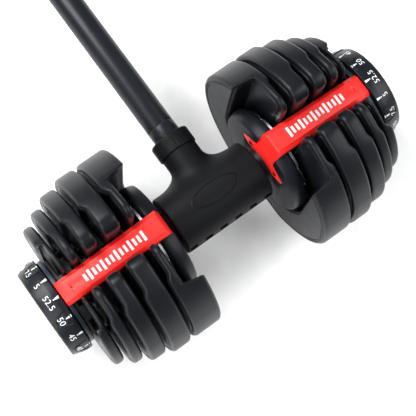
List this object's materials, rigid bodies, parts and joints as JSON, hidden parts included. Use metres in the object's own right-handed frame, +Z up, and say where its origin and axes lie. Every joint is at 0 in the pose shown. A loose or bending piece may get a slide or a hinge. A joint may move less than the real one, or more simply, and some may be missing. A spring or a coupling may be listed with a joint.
{
  "type": "adjustable dumbbell",
  "caption": "Adjustable dumbbell with stacked slotted plates, end dials that choose the load, red bridges over the selector discs, and a clamp-on connecting rod.",
  "frame": {"origin": "bottom centre of the whole part's box, at the height of the plates' flat feet", "axes": "handle along X, connecting rod along +Y, +Z up"},
  "size_m": [0.4, 0.501, 0.1891],
  "materials": {
    "plate_skin": "soft-touch moulded black with a blue-grey sheen",
    "iron_core": "grey cast iron, sealed inside the moulded skin",
    "bright_steel": "zinc-plated turned and stamped steel",
    "end_plate": "moulded slate plastic",
    "guard_plastic": "satin moulded charcoal plastic",
    "dark_screw": "black-oxide steel screws",
    "red_bridge": "satin bright red moulded nylon",
    "selector_plastic": "glass-filled nylon, charcoal",
    "dial_plastic": "satin moulded charcoal with white printed numbers",
    "dial_cap": "fine textured black plastic",
    "grip_rubber": "black moulded rubber",
    "liner_rubber": "black rubber, matte",
    "clamp_plastic": "fine textured near-black nylon",
    "slip_ring": "white acetal",
    "rod_paint": "satin slate powder coat on steel"
  },
  "bodies": {
    "dumbbell": {"handle_bar": "bright_steel", "hand_grip": "grip_rubber", "left_guard": "guard_plastic", "right_guard": "guard_plastic", "left_lock_spring": "bright_steel", "right_lock_spring": "bright_steel", "left_bridge": "red_bridge", "right_bridge": "red_bridge", "left_bridge_screws": "dark_screw", "right_bridge_screws": "dark_screw", "left_end_plate": "end_plate", "right_end_plate": "end_plate", "left_plate_1": "plate_skin", "left_plate_2": "plate_skin", "left_plate_3": "plate_skin", "left_plate_4": "plate_skin", "left_plate_5": "plate_skin", "right_plate_1": "plate_skin", "right_plate_2": "plate_skin", "right_plate_3": "plate_skin", "right_plate_4": "plate_skin", "right_plate_5": "plate_skin", "left_iron_cores": "iron_core", "right_iron_cores": "iron_core", "left_dial_bolt": "bright_steel", "right_dial_bolt": "bright_steel"},
    "left_selector": {"left_index_disc": "bright_steel", "left_selector_tube": "bright_steel", "left_selector_1": "selector_plastic", "left_selector_2": "selector_plastic", "left_selector_3": "selector_plastic", "left_selector_4": "selector_plastic", "left_selector_5": "selector_plastic", "left_dial": "dial_plastic", "left_dial_cap": "dial_cap"},
    "right_selector": {"right_index_disc": "bright_steel", "right_selector_tube": "bright_steel", "right_selector_1": "selector_plastic", "right_selector_2": "selector_plastic", "right_selector_3": "selector_plastic", "right_selector_4": "selector_plastic", "right_selector_5": "selector_plastic", "right_dial": "dial_plastic", "right_dial_cap": "dial_cap"},
    "left_lock": {"left_lock_pin": "bright_steel"},
    "right_lock": {"right_lock_pin": "bright_steel"},
    "rod_clamp": {"clamp_upper_shell": "clamp_plastic", "clamp_lower_shell": "clamp_plastic", "clamp_upper_liner": "liner_rubber", "clamp_lower_liner": "liner_rubber", "rod_ferrule": "rod_paint", "rod_seal_ring": "liner_rubber", "rod_tube": "rod_paint", "rod_end_socket": "bright_steel"},
    "slip_ring": {"collar_slip_ring": "slip_ring"},
    "collar": {"collar_nut": "clamp_plastic"}
  },
  "joints": [
    {"name": "left_dial_turn", "type": "hinge", "parent": "dumbbell", "child": "left_selector", "pos_m": [-0.19, -0.1495, 0.08999], "axis": [-1, 0, 0], "range_deg": [0, 336]},
    {"name": "right_dial_turn", "type": "hinge", "parent": "dumbbell", "child": "right_selector", "pos_m": [0.19, -0.1495, 0.08999], "axis": [1, 0, 0], "range_deg": [0, 336]},
    {"name": "left_lock_travel", "type": "slide", "parent": "dumbbell", "child": "left_lock", "axis": [-1, 0, 0], "range_m": [0, 0.0036], "deforming": ["left_lock_spring"]},
    {"name": "right_lock_travel", "type": "slide", "parent": "dumbbell", "child": "right_lock", "axis": [1, 0, 0], "range_m": [0, 0.0036], "deforming": ["right_lock_spring"]},
    {"name": "clamp_swivel", "type": "hinge", "parent": "dumbbell", "child": "rod_clamp", "pos_m": [0, -0.1495, 0.08999], "axis": [1, 0, 0], "range_deg": [-10, 190]},
    {"name": "collar_travel", "type": "slide", "parent": "rod_clamp", "child": "slip_ring", "axis": [0, 1, 0], "range_m": [0, 0.014]},
    {"name": "collar_turn", "type": "hinge", "parent": "slip_ring", "child": "collar", "pos_m": [0, -0.0845, 0.08999], "axis": [0, 1, 0], "range_deg": [0, 2520]}
  ],
  "couplings": [
    {"joint": "collar_travel", "follows": "collar_turn", "m_per_rad": 0.00031831}
  ]
}
